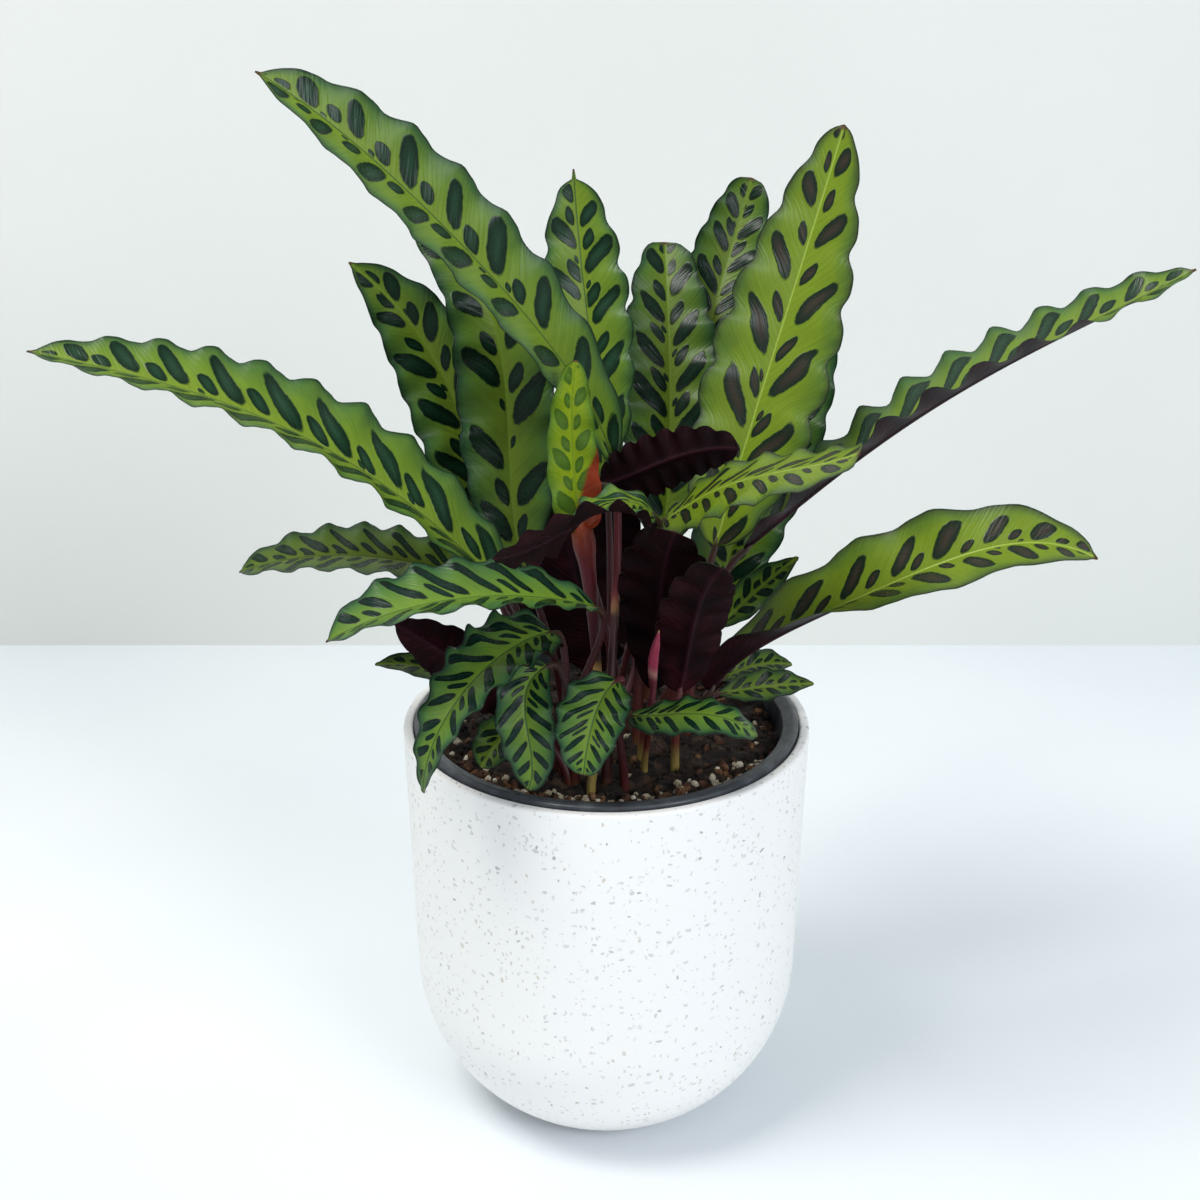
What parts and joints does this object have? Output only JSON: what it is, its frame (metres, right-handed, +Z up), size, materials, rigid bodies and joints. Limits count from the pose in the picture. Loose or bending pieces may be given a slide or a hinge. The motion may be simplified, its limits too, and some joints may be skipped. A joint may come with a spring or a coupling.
{
  "type": "potted plant",
  "caption": "Calathea with long wave-edged, blotched leaves on red stalks, in a rimmed plastic nursery pot set inside a rounded white stone cover pot.",
  "frame": {"origin": "centre of the cover pot's flat foot, on the surface that it stands on", "axes": "+Z up through both pots, -Y toward the side that the picture shows, +X to the right as seen from there"},
  "size_m": [0.4898, 0.2331, 0.5014],
  "materials": {
    "cover_stone": "matt white terrazzo with fine grey and beige chips",
    "nursery_plastic": "moulded dark slate-grey plastic, half matt",
    "potting_mix": "damp dark potting mix with bark and pale grit",
    "leaf_green": "waxy yellow-green leaf with dark blotches above and burgundy below",
    "young_leaf_green": "soft bright green of a leaf that is still unrolling",
    "stalk_red": "smooth red-brown leaf stalk",
    "shoot_pink": "smooth pink furled leaf tip"
  },
  "bodies": {
    "root": {"blade_01": "leaf_green", "blade_02": "leaf_green", "blade_03": "leaf_green", "blade_04": "leaf_green", "blade_05": "leaf_green", "blade_06": "leaf_green", "blade_07": "leaf_green", "blade_08": "leaf_green", "blade_09": "leaf_green", "blade_10": "leaf_green", "blade_11": "leaf_green", "blade_12": "leaf_green", "blade_13": "leaf_green", "blade_14": "leaf_green", "blade_15": "leaf_green", "blade_16": "leaf_green", "blade_17": "leaf_green", "blade_18": "leaf_green", "blade_19": "leaf_green", "blade_20": "leaf_green", "blade_21": "leaf_green", "blade_22": "leaf_green", "blade_23": "leaf_green", "blade_24": "leaf_green", "blade_25": "young_leaf_green", "blade_27": "leaf_green", "blade_28": "leaf_green", "blade_29": "leaf_green", "blade_30": "leaf_green", "blade_31": "leaf_green", "cover_pot": "cover_stone", "furled_shoot": "shoot_pink", "nursery_pot": "nursery_plastic", "potting_mix": "potting_mix", "stalk_01": "stalk_red", "stalk_02_19": "stalk_red", "stalk_03": "stalk_red", "stalk_04": "stalk_red", "stalk_05": "stalk_red", "stalk_06": "stalk_red", "stalk_07": "stalk_red", "stalk_08": "stalk_red", "stalk_09": "stalk_red", "stalk_10": "stalk_red", "stalk_11": "stalk_red", "stalk_12": "stalk_red", "stalk_13": "stalk_red", "stalk_14_31": "stalk_red", "stalk_15": "stalk_red", "stalk_16": "stalk_red", "stalk_17": "stalk_red", "stalk_18": "stalk_red", "stalk_20_22": "stalk_red", "stalk_21": "stalk_red", "stalk_23": "stalk_red", "stalk_24_29": "stalk_red", "stalk_25": "stalk_red", "stalk_27": "stalk_red", "stalk_28": "stalk_red", "stalk_30": "stalk_red"}
  },
  "joints": []
}
